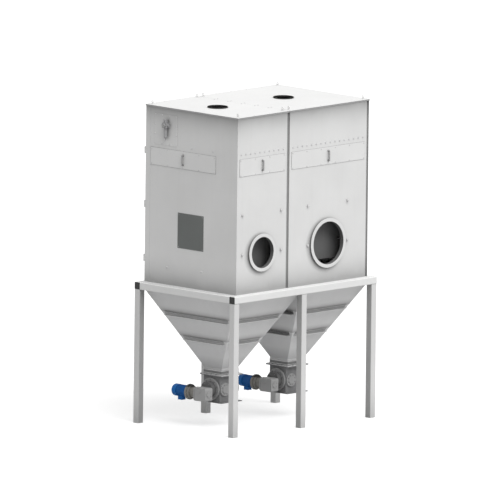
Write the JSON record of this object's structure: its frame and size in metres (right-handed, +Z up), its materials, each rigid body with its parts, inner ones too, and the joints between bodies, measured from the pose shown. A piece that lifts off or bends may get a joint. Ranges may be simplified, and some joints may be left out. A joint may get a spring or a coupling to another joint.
{
  "type": "filter dust collector",
  "caption": "Filter dust collector: side-by-side filter chambers with round inlets on a square tube frame, pyramid hoppers and rotary valves with gearmotors below.",
  "frame": {"origin": "on the floor, in the middle of the frame footprint", "axes": "+Z up, X along the front, -Y towards the side with the inlets, -X towards the side with the square plate"},
  "size_m": [2.82, 1.91, 4.485],
  "materials": {
    "frame_white": "satin white paint",
    "body_white": "satin off-white paint",
    "roof_white": "satin white paint",
    "strip_grey": "satin grey paint",
    "cap_black": "matte black plastic",
    "handle_dark": "satin black paint",
    "baffle_grey": "satin grey paint",
    "stud_steel": "zinc plated",
    "plate_dark": "matte dark grey-green",
    "regulator_dark": "matte dark plastic",
    "eye_steel": "zinc plated",
    "hopper_white": "satin off-white paint",
    "valve_grey": "painted casting",
    "rotor_steel": "machined",
    "gear_grey": "cast and painted",
    "adapter_brown": "cast and painted",
    "motor_blue": "semi-gloss blue paint"
  },
  "bodies": {
    "root": {"legs": "frame_white", "long_beams": "frame_white", "cross_beams": "frame_white", "beam_end_caps": "cap_black", "left_wall": "body_white", "right_wall": "body_white", "partition_wall": "body_white", "front_wall_a": "body_white", "front_wall_b": "body_white", "back_wall_a": "body_white", "back_wall_b": "body_white", "roof_a": "roof_white", "roof_b": "roof_white", "joint_posts": "strip_grey", "hatch_front_a": "body_white", "hatch_front_b": "body_white", "hatch_left": "body_white", "hatch_handles": "handle_dark", "inlet_collar_a": "body_white", "inlet_collar_b": "body_white", "inlet_baffle_a": "baffle_grey", "inlet_baffle_b": "baffle_grey", "baffle_studs": "stud_steel", "square_plate": "plate_dark", "service_cover": "body_white", "air_regulator": "regulator_dark", "lifting_eyes": "eye_steel", "back_door_a": "body_white", "back_door_b": "body_white", "door_hinges": "eye_steel", "hopper_a": "hopper_white", "hopper_b": "hopper_white", "hopper_ribs": "hopper_white", "valve_casing_a": "valve_grey", "valve_casing_b": "valve_grey", "valve_end_covers": "valve_grey", "valve_rotor_a": "rotor_steel", "valve_rotor_b": "rotor_steel", "gearbox_a": "gear_grey", "gearbox_b": "gear_grey", "motor_adapters": "adapter_brown", "motor_a": "motor_blue", "motor_b": "motor_blue"}
  },
  "joints": []
}
